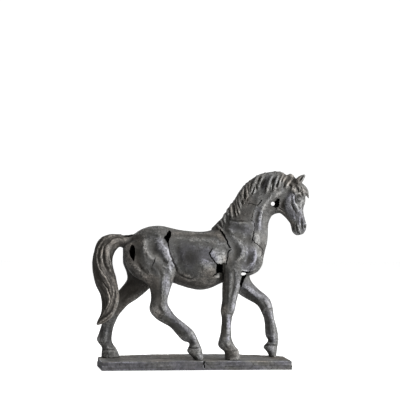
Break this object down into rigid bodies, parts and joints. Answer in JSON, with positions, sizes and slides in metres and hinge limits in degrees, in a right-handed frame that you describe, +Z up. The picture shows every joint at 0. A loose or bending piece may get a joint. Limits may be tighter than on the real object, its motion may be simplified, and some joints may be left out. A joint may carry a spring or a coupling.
{
  "type": "horse statue",
  "caption": "Walking horse ornament on a low slab plinth, with a weathered, cracked skin that is open in places.",
  "frame": {"origin": "centre of the plinth's flat underside", "axes": "+X the way the horse walks, along the plinth; +Y towards the horse's left side; +Z up"},
  "size_m": [0.4175, 0.094, 0.3765],
  "materials": {
    "horse": "satin lead-grey patina on cast resin, with pale rubbed ridges and brown-black hollows",
    "plinth": "the same lead-grey patina, streaked along the slab, with worn pale edges"
  },
  "bodies": {
    "root": {"horse": "horse", "plinth": "plinth"}
  },
  "joints": []
}
